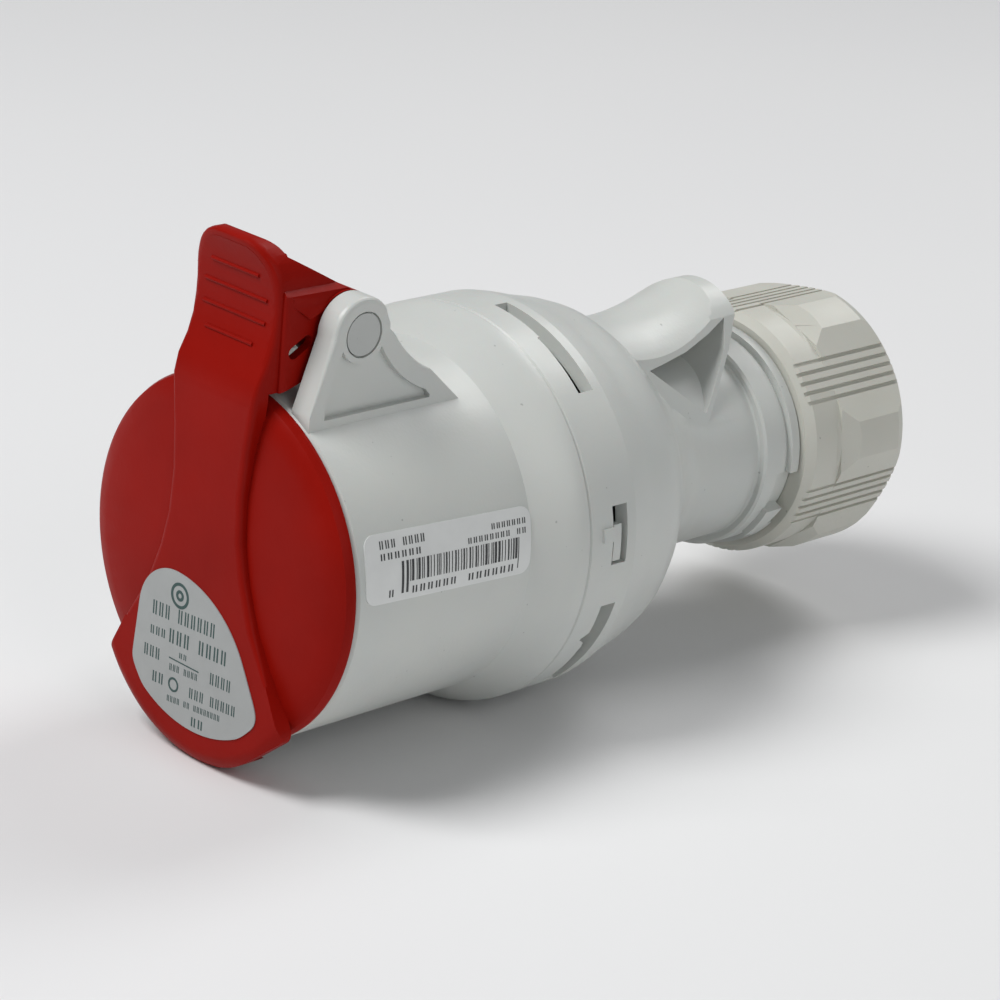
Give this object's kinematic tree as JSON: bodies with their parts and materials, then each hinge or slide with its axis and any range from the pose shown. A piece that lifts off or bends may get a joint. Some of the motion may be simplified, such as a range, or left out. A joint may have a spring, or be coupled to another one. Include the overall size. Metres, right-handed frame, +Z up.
{
  "type": "industrial cable coupler",
  "caption": "Round industrial cable coupler with a sprung flap lid over its socket, a bayonet rear housing with a finger rest, and a cable gland nut.",
  "frame": {"origin": "centre of the shell's front rim, on the coupling axis", "axes": "+Y along the coupling axis from the lid to the cable, +Z up towards the lid's hinge, +X to the right seen from the lid"},
  "size_m": [0.0662, 0.1448, 0.0849],
  "materials": {
    "housing_plastic": "satin light grey moulding",
    "lid_plastic": "satin red moulding",
    "nut_plastic": "satin warm grey moulding",
    "pin_plastic": "satin grey moulding",
    "carrier_plastic": "matt black moulding",
    "brass": "turned",
    "steel": "zinc plated",
    "rubber": "matt black",
    "label": "matt white label"
  },
  "bodies": {
    "housing": {"front_housing": "housing_plastic", "hinge_pin": "pin_plastic", "lid_spring": "steel", "side_sticker": "label", "contact_carrier": "carrier_plastic", "contact_retainer": "carrier_plastic", "contact_l1": "brass", "contact_l2": "brass", "contact_l3": "brass", "contact_earth": "brass", "contact_clips": "steel", "terminal_screws": "steel", "housing_seal": "rubber", "rear_housing": "housing_plastic", "clamp_cage": "nut_plastic", "cable_seal": "rubber", "thrust_washer": "nut_plastic"},
    "lid": {"flap_lid": "lid_plastic", "lid_gasket": "rubber", "lid_label": "label"},
    "nut": {"gland_nut": "nut_plastic"}
  },
  "joints": [
    {"name": "lid_swing", "type": "hinge", "parent": "housing", "child": "lid", "pos_m": [0, 0.01015, 0.0383], "axis": [-1, 0, 0], "range_deg": [0, 120], "stiffness_Nm_per_rad": 0.02, "springref_deg": -68.75},
    {"name": "gland_nut_turn", "type": "hinge", "parent": "housing", "child": "nut", "pos_m": [0, 0.125, 0], "axis": [0, 1, 0], "range_deg": [0, 360]}
  ]
}
